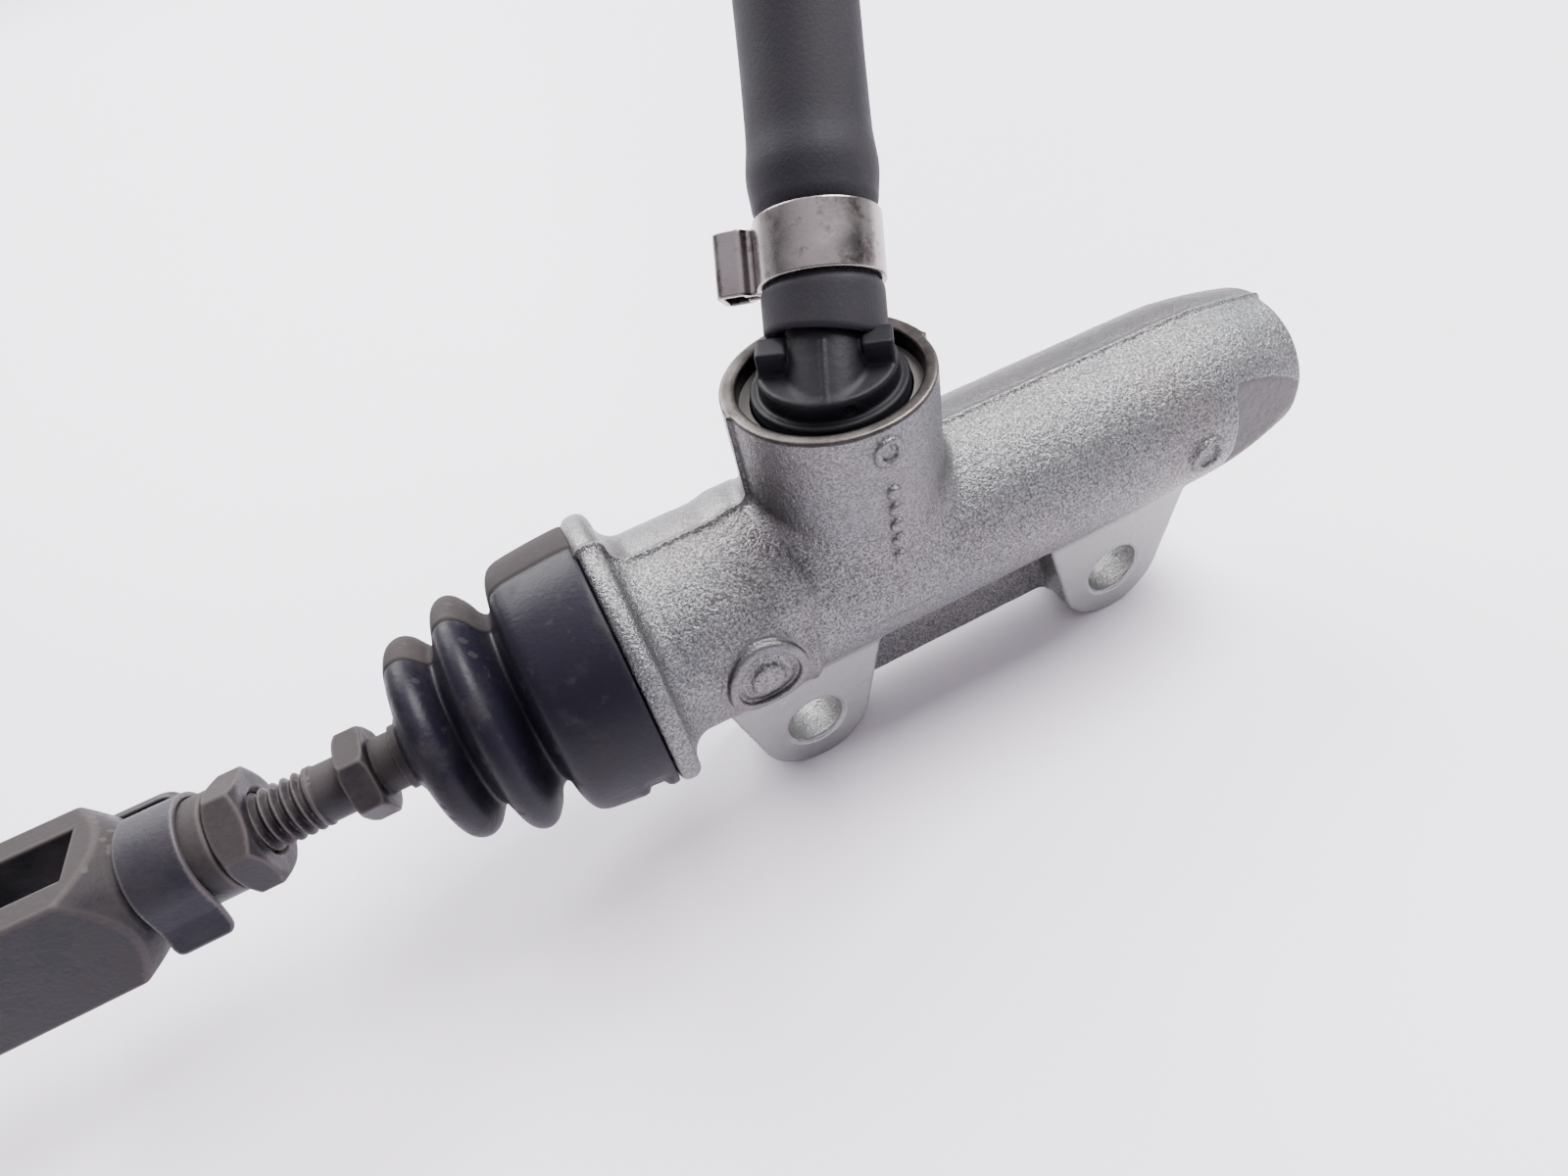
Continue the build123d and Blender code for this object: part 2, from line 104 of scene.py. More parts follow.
PLANES_AT_ONCE = 24
SETTLE_ROUNDS = 3


def weld(a, b, radius):
    """Two fields joined, with a fillet of that radius where they meet."""
    corner = np.hypot(np.maximum(radius - a, 0), np.maximum(radius - b, 0))
    return np.maximum(radius, np.minimum(a, b)) - corner


def trim(a, b, radius):
    """What two fields have in common, with its outer edge rounded to that radius."""
    corner = np.hypot(np.maximum(radius + a, 0), np.maximum(radius + b, 0))
    return np.minimum(-radius, np.maximum(a, b)) + corner


def cut(a, b, radius):
    """Field a without field b, with the edge rounded to that radius."""
    return trim(a, -b, radius)


def slab(x, low, high):
    return np.abs(x - (low + high) / 2) - (high - low) / 2


def box_field(x, y, z, low, high, radius):
    flat = trim(slab(x, low[0], high[0]), slab(y, low[1], high[1]), radius)
    return trim(flat, slab(z, low[2], high[2]), radius)


def bar_field(r, t, low, high, outer, radius):
    """A round bar from low to high along t."""
    return trim(r - outer, slab(t, low, high), radius)


def hex_field(y, z, across_flats, turn, radius):
    """A hexagonal prism with a flat facing +z when turn is 0."""
    d = None
    for k in range(3):
        a = math.radians(90 + turn + 60 * k)
        flat = np.abs(y * math.cos(a) + z * math.sin(a)) - across_flats / 2
        d = flat if d is None else trim(d, flat, radius)
    return d


def smooth_step(low, high, t):
    s = np.clip((t - low) / (high - low), 0, 1)
    return s * s * (3 - 2 * s)


def grid_values(field, axes):
    """The field at every point of a grid, a few planes at a time."""
    values = np.empty(tuple(len(a) for a in axes), np.float32)
    for i in range(0, len(axes[0]), PLANES_AT_ONCE):
        x, y, z = np.meshgrid(axes[0][i:i + PLANES_AT_ONCE], axes[1], axes[2], indexing="ij", sparse=True)
        values[i:i + PLANES_AT_ONCE] = field(x, y, z)
    return values


def crossings(values, axes, axis, step):
    """Where the field changes sign along one axis: a quad of the four cells round each place,
    the same cells one by one, and the place once for each of them."""
    u, v = (axis + 1) % 3, (axis + 2) % 3
    cells = [count - 1 for count in values.shape]
    turned = np.transpose(values, (axis, u, v))
    inside = turned < 0
    i, j, k = np.nonzero(inside[:-1, 1:-1, 1:-1] != inside[1:, 1:-1, 1:-1])
    j = j + 1
    k = k + 1
    first, second = turned[i, j, k], turned[i + 1, j, k]
    point = np.empty((len(i), 3))
    point[:, axis] = axes[axis][i] + step * first / (first - second)
    point[:, u] = axes[u][j]
    point[:, v] = axes[v][k]
    corners = []
    for dj, dk in ((-1, -1), (0, -1), (0, 0), (-1, 0)):
        cell = [None] * 3
        cell[axis], cell[u], cell[v] = i, j + dj, k + dk
        corners.append((cell[0] * cells[1] + cell[1]) * cells[2] + cell[2])
    quad = np.stack(corners, 1)
    around = quad.ravel().copy()
    flip = first >= 0
    quad[flip] = quad[flip][:, ::-1]
    return quad, around, np.repeat(point, 4, 0)


def surface(field, low, high, step):
    """A closed mesh of quads on field = 0: points (n, 3) in millimetres and faces (m, 4)."""
    axes = [np.arange(low[i], high[i] + step, step) for i in range(3)]
    values = grid_values(field, axes)
    found = [crossings(values, axes, axis, step) for axis in range(3)]
    quads, where, hits = (np.concatenate(part) for part in zip(*found))
    used, index = np.unique(where, return_inverse=True)
    count = np.bincount(index, minlength=len(used))
    points = np.stack([np.bincount(index, hits[:, c], len(used)) / count for c in range(3)], 1)
    for _ in range(SETTLE_ROUNDS):
        points = settle(points, field, step)
    return points, np.searchsorted(used, quads)


def growth(field, points, reach):
    """How much the field grows from reach behind each point to reach ahead, along x, y and z."""
    out = np.empty_like(points)
    for c in range(3):
        ahead, behind = points.copy(), points.copy()
        ahead[:, c] += reach
        behind[:, c] -= reach
        out[:, c] = field(*ahead.T) - field(*behind.T)
    return out


def settle(points, field, step):
    """Moves points on to field = 0, along the field's slope and by half a step at most."""
    reach = 0.01
    flattest = 0.25
    value = field(*points.T)
    slope = growth(field, points, reach) / (2 * reach)
    move = slope * (value / np.maximum((slope ** 2).sum(1), flattest))[:, None]
    return points - np.clip(move, -0.5 * step, 0.5 * step)


def ring_faces(rings, around):
    """Quads between rings of points, the last ring joined to the first."""
    i, j = np.meshgrid(np.arange(rings), np.arange(around), indexing="ij")
    i2 = (i + 1) % rings
    j2 = (j + 1) % around
    corners = (i * around + j, i * around + j2, i2 * around + j2, i2 * around + j)
    return np.stack(corners, -1).reshape(-1, 4)


def mesh_object(name, points, faces):
    """A smooth-shaded mesh object from points in millimetres in the drawing's frame."""
    mesh = bpy.data.meshes.new(name)
    size = faces.shape[1]
    mesh.vertices.add(len(points))
    mesh.vertices.foreach_set("co", (points * MM + np.array(AXIS)).astype(np.float32).ravel())
    mesh.loops.add(len(faces) * size)
    mesh.loops.foreach_set("vertex_index", faces.astype(np.int32).ravel())
    mesh.polygons.add(len(faces))
    mesh.polygons.foreach_set("loop_start", np.arange(0, len(faces) * size, size, dtype=np.int32))
    mesh.polygons.foreach_set("use_smooth", np.full(len(faces), True))
    mesh.update(calc_edges=True)
    mesh.validate()
    obj = bpy.data.objects.new(name, mesh)
    bpy.context.scene.collection.objects.link(obj)
    return obj


def add_mask(obj, name, values):
    """A number for each point of the mesh, which the piece's material reads by name."""
    layer = obj.data.attributes.new(name, "FLOAT", "POINT")
    layer.data.foreach_set("value", np.asarray(values, np.float32))


def field_object(name, field, low, high, step):
    return mesh_object(name, *surface(field, low, high, step))


def node_points(name):
    """A CAD node's points in millimetres in the drawing's frame."""
    node = frame["nodes"][name]
    return np.array([node.matrix_world @ v.co for v in node.data.vertices]) / MM - np.array(AXIS) / MM


# ---- Housing -----------------------------------------------------------------------------

HOLES_X = (-10.0, 30.0)
HOLE_Z = -17.8
HOLE_R = 3.3
HOLE_CHAMFER = 0.35
LUG_R = 6.7
LUG_LEAN = 0.262
LUG_TOP = -3.0
LUG_FRONT = -5.2
LUG_BACK = 4.8
WEB_FRONT = -0.5
WEB_Z = (-21.0, -4.0)
BOSS_TOP = 20.7
BOSS_R = 9.5
CAVITY_R = 8.28
CAVITY_FLOOR = 8.6
FRONT_R = 9.85
TAPER = [(37.0, 9.85), (40.5, 9.74), (43.0, 9.48), (46.0, 8.95), (49.5, 8.15)]
OUTLET_X = 50.2
REAR_R = 10.4
REAR_START = -24.0
STEP_X = -9.1
FLANGE_R = 13.9
FLANGE_X = (-26.1, -23.9)
SPIGOT_R = 10.0
SPIGOT_END = -32.5
GROOVE_R = 9.3
GROOVE_X = (-30.4, -28.3)
FLATS_X = 40.2
FLATS_Y = 8.0
MOUTH_R = 8.2
MOUTH_FLOOR = -24.0
BORE_R = 6.0
BORE_END = 34.0
PORT_R = 4.5
PORT_FLOOR = 38.0
PASSAGE_R = 2.0
# the mould's parting line: a fin as high as it is wide, and the back half's slight step
FIN = 0.26
MOULD_STEP = 0.28
# plain raised marks
OVAL_X = -15.0
OVAL_Z = -0.6
OVAL_WIDE = 4.1
OVAL_TALL = 4.5
RING_X = 36.3
RING_Z = -0.4
PIP_Z = 9.9
PIP_PITCH = 1.9
PIP_RING_Z = 18.1
PIPS_ACROSS = 0.3


def lug_field(x, y, z):
    """Two lugs round the mounting holes, whose sides lean outward, with a web between them."""
    d = None
    for hole_x in HOLES_X:
        across = np.abs(x - hole_x)
        up = z - HOLE_Z
        up_side = across * math.sin(LUG_LEAN) + up * math.cos(LUG_LEAN)
        side = across * math.cos(LUG_LEAN) - up * math.sin(LUG_LEAN) - LUG_R
        ear = np.where(up_side < 0, np.hypot(across, up) - LUG_R, side)
        ear = trim(ear, slab(y, LUG_FRONT, LUG_BACK), 0.35)
        d = ear if d is None else np.minimum(d, ear)
    web = box_field(x, y, z, (HOLES_X[0], WEB_FRONT, WEB_Z[0]), (HOLES_X[1], LUG_BACK, WEB_Z[1]), 0.4)
    return np.maximum(weld(d, web, 1.2), z - LUG_TOP)


def barrel_field(x, z, r):
    """The tapered front half and the thicker rear half, with the boot's flange and spigot."""
    girth = np.interp(x, *zip((-60, FRONT_R), *TAPER, (60, 5.7)))
    front = trim(trim(r - girth, x - OUTLET_X, 0.7), -12 - x, 0.5)
    # the step between the halves has a fine lip below, and is a soft slope near the boss
    upper = smooth_step(2.0, 6.0, z)
    lip = 0.28 * (1 - upper) * np.exp(-((x - STEP_X + 0.8) / 0.38) ** 2)
    rear = trim(r - REAR_R - lip, slab(x, REAR_START, STEP_X - 0.2), 0.25)
    flange = trim(r - FLANGE_R, slab(x, *FLANGE_X), 0.95)
    spigot = trim(r - SPIGOT_R, slab(x, SPIGOT_END, -23.0), 0.4)
    spigot = cut(spigot, np.maximum(GROOVE_R - r, slab(x, *GROOVE_X)), 0.1)
    back = weld(weld(rear, flange, 2.4), spigot, 0.1)
    return weld(front, back, 0.15 + 2.5 * upper)


def oval_share(x, z):
    """0 in the middle of the oval pad and 1 on its edge."""
    return np.hypot((x - OVAL_X) / OVAL_WIDE, (z - OVAL_Z) / OVAL_TALL)


def oval_pad(x, y, z, r):
    """A plain raised oval rim on the rear barrel's front."""
    share = oval_share(x, z)
    mean_r = 4.2
    foot = REAR_R - 0.6
    rim = trim(np.abs(share - 0.89) * mean_r - 0.5, slab(r, foot, REAR_R + 0.7), 0.34)
    dome = trim((share - 0.42) * mean_r, slab(r, foot, REAR_R + 0.42), 0.34)
    return np.maximum(np.minimum(rim, dome), y)


def ring_mark(x, y, z, r):
    """A plain raised ring on the front barrel, near the outlet."""
    away = np.hypot(x - RING_X, z - RING_Z)
    ring = trim(np.abs(away - 1.7) - 0.42, slab(r, FRONT_R - 0.6, FRONT_R + 0.38), 0.25)
    return np.maximum(ring, y)


def boss_pips(x, y, z):
    """A ring and a column of five plain pips on the boss's front."""
    across = np.arctan2(x, -y) * BOSS_R - PIPS_ACROSS
    raised = np.hypot(x, y) - BOSS_R
    ring = trim(np.abs(np.hypot(across, z - PIP_RING_Z) - 1.1) - 0.36, raised - 0.36, 0.25)
    nearest = PIP_PITCH * np.clip(np.round((z - PIP_Z) / PIP_PITCH), -2, 2)
    pip = np.hypot(across, (z - PIP_Z) - nearest) - 0.7
    pips = np.minimum(ring, trim(pip, raised - 0.42, 0.3))
    return np.maximum(pips, np.maximum(-0.6 - raised, y))


def outside_field(x, y, z):
    """The casting before anything is machined out of it."""
    r = np.hypot(y, z)
    boss = np.maximum(np.hypot(x, y) - BOSS_R, -z)
    cast = weld(barrel_field(x, z, r), boss, 1.8)
    cast = weld(cast, lug_field(x, y, z), 1.6)
    # the two mould halves meet on y = 0
    cast = cast - FIN * np.exp(-(y / FIN) ** 2) - MOULD_STEP * smooth_step(-0.2, 0.2, y)
    for mark in (oval_pad(x, y, z, r), ring_mark(x, y, z, r), boss_pips(x, y, z)):
        cast = np.minimum(cast, mark)
    return trim(cast, z - BOSS_TOP, 0.22)


def hollow_fields(x, y, z, r):
    """The bore with its mouth, the outlet port and the boss's cavity, each with its edge's radius."""
    mouth = bar_field(r, x, -40.0, MOUTH_FLOOR, MOUTH_R, 0.1)
    bore = bar_field(r, x, -30.0, BORE_END, BORE_R, 0.1)
    thread = bar_field(r, x, PORT_FLOOR, 60.0, PORT_R, 0.1)
    port = weld(thread, bar_field(r, x, 30.0, 40.0, PASSAGE_R, 0.1), 0.1)
    port = np.minimum(port, (r - PORT_R - (x - OUTLET_X + 0.6)) * 0.7)
    boss_r = np.hypot(x, y)
    cavity = bar_field(boss_r, z, CAVITY_FLOOR, 30.0, CAVITY_R, 0.3)
    cavity = np.minimum(cavity, (boss_r - CAVITY_R - (z - 20.5)) * 0.7)
    return (mouth, 0.15), (bore, 0.15), (port, 0.15), (cavity, 0.12)


def housing_field(x, y, z):
    r = np.hypot(y, z)
    d = outside_field(x, y, z)
    for side in (-1, 1):
        flat = trim(FLATS_Y - side * y, FLATS_X - x, 0.5)
        d = cut(d, flat, 0.3)
    for hollow, edge_r in hollow_fields(x, y, z, r):
        d = cut(d, hollow, edge_r)
    for hole_x in HOLES_X:
        hole_r = np.hypot(x - hole_x, z - HOLE_Z)
        edge = np.maximum(LUG_FRONT + HOLE_CHAMFER - y, y - LUG_BACK + HOLE_CHAMFER)
        d = cut(d, hole_r - HOLE_R - np.maximum(edge, 0), 0.1)
    return d


def lumpy(points, rough):
    """The points with the rough ones moved in or out a little, as a sand-cast skin is uneven."""
    lumps = np.zeros(len(points))
    for k in np.nonzero(rough)[0]:
        p = points[k]
        lumps[k] = (0.035 * noise.noise(Vector(p * 0.45)) + 0.022 * noise.noise(Vector(p * 1.5)))
    slope = growth(housing_field, points, 0.02)
    slope /= np.maximum(np.linalg.norm(slope, axis=1), 1e-9)[:, None]
    return points + slope * lumps[:, None]


def housing_masks(x, y, z):
    """Which points are machined, calm, shaded, painted bright or painted dark with the shade in the boss's cavity,
    each from 0 to 1.
    """
    r = np.hypot(y, z)
    boss_r = np.hypot(x, y)
    # machined where a face was cut after casting
    rim = z > BOSS_TOP - 0.3
    inside = (boss_r < 8.9) & (z > 8)
    bore = (r < 8.4) & (x < BORE_END) | (r < 5.2) & (x > 30)
    machined = rim | inside | bore | (x > OUTLET_X - 0.2)
    from_hole = np.minimum(*(abs(x - hole_x) for hole_x in HOLES_X))
    low = z < -9
    milled = low & (from_hole < 10.5) & ((y < LUG_FRONT + 0.2) | (y > LUG_BACK - 0.2))
    hole = np.hypot(from_hole, z - HOLE_Z) < HOLE_R + 0.5
    # the lugs' milled faces and hole walls: lighter machined metal, and painted light besides, as the floor in
    # front lights them
    bright = 0.8 * ((hole & low) | (milled & (y > 0))) + 0.55 * (milled & (y < 0) & ~hole)
    flats = (abs(y) < FLATS_Y + 0.1) & (abs(y) > FLATS_Y - 0.1) & (x > 40.6)
    share = oval_share(x, z)
    emblem = (y < 0) * smooth_step(0.60, 0.72, share) * (1 - smooth_step(1.06, 1.2, share))
    strip = smooth_step(0.15, 0.5, y) * (z > 0)
    boss_skin = 0.5 * (boss_r < BOSS_R + 1.2) * smooth_step(8.0, 11.0, z)
    calm = np.maximum.reduce([milled & (y < 0), flats, 0.7 * emblem, 0.75 * strip, boss_skin])
    # painted shade: the boss's cavity wall below the rim is dark because it lies in shade
    painted_cavity_shade = inside & ~rim & (z < BOSS_TOP - 0.2)
    return {"machined": machined, "calm": calm, "shade": flats, "bright": bright, "painted_cavity_shade": painted_cavity_shade}


def make_housing():
    points, faces = surface(housing_field, (-33.5, -15.0, -26.0), (51.2, 15.0, 21.5), 0.22)
    masks = housing_masks(*points.T)
    points = lumpy(points, ~masks["machined"])
    obj = mesh_object("housing_casting", points, faces)
    for name, values in masks.items():
        add_mask(obj, name, values)
    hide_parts("cylinder_body")
    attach(obj, "housing")
    return obj


# ---- Rubber boot: its outside from the flange to the rod, as (x, radius) --------------------

BOOT_LINE = [(-26.14, 12.6), (-26.16, 13.2), (-26.6, 13.58), (-29.3, 13.42), (-32.1, 13.1), (-33.4, 12.85),
             (-34.2, 12.35), (-34.75, 11.3), (-35.2, 9.5), (-35.75, 8.75), (-36.5, 9.3), (-37.2, 10.7),
             (-38.1, 11.75), (-39.1, 11.95), (-40.0, 11.35), (-40.6, 9.9), (-41.15, 8.6), (-41.7, 8.25),
             (-42.3, 8.9), (-43.0, 9.8), (-43.9, 10.2), (-44.9, 9.9), (-45.6, 8.9), (-46.2, 7.0),
             (-46.7, 5.2), (-47.1, 4.2), (-47.4, 3.7), (-47.4, 3.0)]
BOOT_WALL = 1.05
BELLOWS_X = (-33.2, -46.6)
SEAM = math.radians(83)
NOTCH = math.radians(212)


def rounded_line(points, parts):
    """A smooth line through the points (Catmull-Rom), with parts pieces to each span."""
    p = np.array([points[0], *points, points[-1]], float)
    out = []
    for i in range(1, len(p) - 2):
        for s in np.linspace(0, 1, parts, endpoint=False):
            a, b, c, d = p[i - 1], p[i], p[i + 1], p[i + 2]
            out.append(0.5 * (2 * b + (c - a) * s + (2 * a - 5 * b + 4 * c - d) * s ** 2
                              + (3 * b - a - 3 * c + d) * s ** 3))
    out.append(p[-2])
    return np.array(out)


def turned_mesh(line, around):
    """Points and faces of a closed line of (x, radius) turned about the bore axis."""
    angle = np.linspace(0, 2 * math.pi, around, endpoint=False)
    x = np.repeat(line[:, 0], around)
    r = np.repeat(line[:, 1], around)
    a = np.tile(angle, len(line))
    points = np.stack([x, r * np.cos(a), r * np.sin(a)], 1)
    return points, ring_faces(len(line), around), a


def boot_section():
    """The boot cut along its length: its outside, then its inner wall back to the flange."""
    outer = rounded_line(BOOT_LINE, 6)
    inner = []
    for k in range(len(outer) - 1, 0, -1):
        along = outer[min(k + 1, len(outer) - 1)] - outer[k - 1]
        along /= np.linalg.norm(along)
        point = outer[k] + BOOT_WALL * np.array([-along[1], along[0]])
        if -33.3 > point[0] > BELLOWS_X[1] and point[1] > 3.4:
            inner.append(point)
    rod_lip = [(-47.3, 2.55), (-45.6, 2.55), (-45.6, 3.7)]
    collar = [(-32.9, 10.6), (-32.5, 10.15), (-26.4, 10.2)]
    return np.array([*outer, *rod_lip, *inner, *collar])


def make_boot():
    points, faces, angle = turned_mesh(boot_section(), 320)
    x, y, z = points.T
    r = np.hypot(y, z)
    shown = r > 7.0
    # the mould's seam, a little above the back, and some unevenness of the rubber
    seam = np.exp(-((angle - SEAM) / 0.016) ** 2) * shown
    swell = np.array([0.06 * noise.noise(Vector((px * 0.12, py * 0.12, pz * 0.12))) for px, py, pz in points])
    notch = (np.exp(-((angle - NOTCH) / 0.3) ** 8) * smooth_step(-29.4, -29.0, x)
             * smooth_step(27.2, 27.6, -x) * (r > 12.4))
    back = smooth_step(-0.02, 0.02, SEAM - angle) * shown
    grow = (-0.12 * seam + swell * shown - 0.8 * notch + 0.1 * back) / np.maximum(r, 1)
    points[:, 1] += y * grow
    points[:, 2] += z * grow
    obj = mesh_object("boot_rubber", points, faces[:, ::-1])
    add_mask(obj, "seam", seam)
    add_mask(obj, "over", smooth_step(-0.01, 0.01, SEAM - angle) + smooth_step(4.9, 5.6, angle))
    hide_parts("rubber_boot")
    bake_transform(obj)
    return obj


# ---- Pushrod, nut, clevis and its clip -------------------------------------------------------

ROD_END = -71.0
THREAD_END = -56.0
THREAD_PITCH = 1.0
THREAD_DEPTH = 0.62
# the rod's outline as (x, radius): end, thread, hexagon's shank, ring, neck and body
ROD_LINE = [(-80, 2.4), (ROD_END, 2.4), (-70.4, 3.0), (THREAD_END, 3.0), (-55.8, 2.8), (-48.35, 2.8),
            (-48.3, 3.2), (-47.4, 3.2), (-47.35, 2.5), (-45.4, 2.5), (-45.4, 2.9), (-10, 2.9)]
COLLAR_X = (-53.0, -50.3)
COLLAR_FLATS = 8.0
HEX_TURN = -4.5
NUT_X = -62.5
NUT_HALF = 1.6
NUT_FLATS = 10.0
NUT_TURN = -27.0
PIN_X = -87.2
PIN_R = 3.0
FORK_HALF = 6.0
FORK_X = (-94.2, -71.65)
FORK_GAP = 3.0
FORK_GAP_END = -74.7
NECK_R = 4.9
NECK_X = (-76.0, -64.2)
CLIP_ARC = 5.25
CLIP_X = (-71.2, -66.1)
CLIP_EDGE = 0.14
ROLL = math.atan2(-joint("clip_swing")["axis"][2], -joint("clip_swing")["axis"][1])


def rolled(y, z):
    """y and z in the clevis's own frame, which is turned about the bore axis."""
    return y * math.cos(ROLL) + z * math.sin(ROLL), -y * math.sin(ROLL) + z * math.cos(ROLL)


def rod_field(x, y, z):
    r = np.hypot(y, z)
    plain = np.interp(x, *zip(*ROD_LINE))
    d = trim(r - plain, slab(x, ROD_END, -21.0), 0.15)
    turn = (x - np.arctan2(z, y) / (2 * math.pi)) % THREAD_PITCH
    flank = np.abs(turn - 0.5) * 2
    depth = THREAD_DEPTH * np.clip(1.18 * flank - 0.09, 0, 1) * (1 - smooth_step(-56.9, THREAD_END, x))
    thread = np.maximum((r - 2.98 + depth) * 0.72, ROD_END - x)
    d = np.where(x < THREAD_END, np.maximum(d, thread), d)
    collar = hex_field(y, z, COLLAR_FLATS, HEX_TURN, 0.16)
    collar = trim(collar, slab(x, *COLLAR_X), 0.12)
    collar = trim(collar, (r - 4.12 - 1.3 * (1.35 - np.abs(x + 51.65))) * 0.61, 0.1)
    return weld(d, collar, 0.12)


def nut_field(x, y, z):
    r = np.hypot(y, z)
    from_middle = np.abs(x - NUT_X)
    d = trim(hex_field(y, z, NUT_FLATS, NUT_TURN, 0.18), slab(x, NUT_X - NUT_HALF, NUT_X + NUT_HALF), 0.12)
    d = trim(d, (r - 4.85 - 1.55 * (NUT_HALF - from_middle)) * 0.54, 0.12)
    return cut(d, r - 3.02 - np.maximum(from_middle - 1.2, 0), 0.08)


def clevis_field(x, y, z):
    y, z = rolled(y, z)
    r = np.hypot(y, z)
    neck = trim(r - NECK_R, slab(x, *NECK_X), 0.3)
    square = trim(slab(y, -FORK_HALF, FORK_HALF), slab(z, -FORK_HALF, FORK_HALF), 0.35)
    fork = trim(square, slab(x, *FORK_X), 0.4)
    cone = (r - 5.25 - 1.05 * (FORK_X[1] - x)) * 0.69
    fork = trim(fork, cone, 0.25)
    d = weld(neck, fork, 0.7)
    gap = np.maximum(slab(y, -FORK_GAP, FORK_GAP), x - FORK_GAP_END)
    d = cut(d, gap, 0.2)
    pin_r = np.hypot(x - PIN_X, z)
    d = cut(d, pin_r - 3.05 - np.maximum(np.abs(y) - 5.7, 0), 0.12)
    return cut(d, np.maximum(r - 3.05, NECK_X[0] - x), 0.1)


def clip_band(x, y, z, r):
    """The strip that springs round the clevis's neck, with a lip turned out below."""
    half = 0.3
    near = np.where(z > 0, np.abs(r - CLIP_ARC), np.hypot(np.abs(y) - CLIP_ARC, z))
    line = [(-CLIP_ARC, 0.0), (-5.27, -2.0), (-5.45, -2.9), (-5.95, -4.65)]
    for (y0, z0), (y1, z1) in zip(line, line[1:]):
        run = np.array([y1 - y0, z1 - z0])
        t = np.clip(((y - y0) * run[0] + (z - z0) * run[1]) / (run @ run), 0, 1)
        near = np.minimum(near, np.hypot(y - y0 - t * run[0], z - z0 - t * run[1]))
    lip_z = -3.9
    end = np.hypot(np.maximum(np.abs(x + 68.65) - 1.75, 0), np.maximum(lip_z - z, 0)) - 0.8
    band = trim(near - half, slab(x, *CLIP_X), CLIP_EDGE)
    return trim(band, np.where(z < lip_z, end, -1), CLIP_EDGE)


def clip_field(x, y, z):
    y, z = rolled(y, z)
    r = np.hypot(y, z)
    plate = trim(slab(x, PIN_X - 4.2, -68.0), slab(z, -3, 3), 1.6)
    side = trim(plate, slab(y, 6.1, 6.9), 0.18)
    bridge = box_field(x, y, z, (CLIP_X[0], 3.0, -2.0), (-68.0, 6.4, 2.4), 0.15)
    bridge = np.maximum(bridge, 4.95 - r)
    d = weld(weld(clip_band(x, y, z, r), bridge, 0.2), side, 0.4)
    return cut(d, np.hypot(x - PIN_X, z) - 2.25, 0.1)


def pin_field(x, y, z):
    y, z = rolled(y, z)
    r = np.hypot(x - PIN_X, z)
    shank = trim(r - PIN_R, slab(y, -5.7, 6.05), 0.5)
    tail = trim(r - 2.2, slab(y, 5.5, 7.2), 0.1)
    head = trim(r - 2.8, slab(y, 6.95, 7.6), 0.3)
    return np.minimum(np.minimum(shank, tail), head)


def make_rod_side():
    rod = field_object("rod_steel", rod_field, (-71.6, -5.2, -5.2), (-28.0, 5.2, 5.2), 0.14)
    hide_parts("pushrod")
    nut = field_object("nut_steel", nut_field, (-65.9, -6.3, -6.3), (-59.8, 6.3, 6.3), 0.14)
    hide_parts("locknut")
    fork = field_object("clevis_steel", clevis_field, (-94.8, -7.8, -7.8), (-63.7, 7.8, 7.8), 0.17)
    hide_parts("clevis")
    for piece in (rod, nut, fork):
        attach(piece, "pushrod_group")
    return rod, nut, fork


def make_clip():
    clip = field_object("clip_sheet", clip_field, (-92.4, -8.6, -8.2), (-65.6, 8.6, 7.4), 0.14)
    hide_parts("spring_clip")
    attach(clip, "clip_group")
    pin = field_object("pin_steel", pin_field, (-91.2, -7.6, -4.4), (-83.4, 9.0, 4.4), 0.16)
    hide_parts("clevis_pin")
    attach(pin, "clip_group")
    return clip, pin


# ---- Elbow -------------------------------------------------------------------------------

PLUG_R = 8.1
PLUG_Z = (9.2, 18.0)
O_RING_SEAT_R = 6.3
O_RING_Z = (12.0, 14.4)
DISC_R = 6.2
DISC_TOP = 22.0
TRUNK_R = 3.6
ELBOW_BORE_R = 2.2
EAR_LOW = (-1.3, 3.2, 19.0)
EAR_HIGH = (1.5, 5.9, 24.1)


def elbow_axes(x, y, z):
    """Distances ahead (level), across, along the hose and above it."""
    ahead = x * HEAD_X + y * HEAD_Y
    across = x * HEAD_Y - y * HEAD_X
    along = ahead * LEVEL + (z - BEND_Z) * RISE
    above = -ahead * RISE + (z - BEND_Z) * LEVEL
    return ahead, across, along, above


def elbow_base(z, boss_r):
    """The plug with its O-ring groove, and the stepped disc on top of it."""
    plug = trim(boss_r - PLUG_R, slab(z, *PLUG_Z), 0.3)
    plug = cut(plug, np.maximum(O_RING_SEAT_R - boss_r, slab(z, *O_RING_Z)), 0.1)
    collar = trim(boss_r - 7.1, slab(z, 16.0, 20.2), 0.35)
    disc = trim(boss_r - DISC_R, slab(z, 16.0, DISC_TOP), 0.4)
    return np.minimum(plug, weld(collar, disc, 0.25))


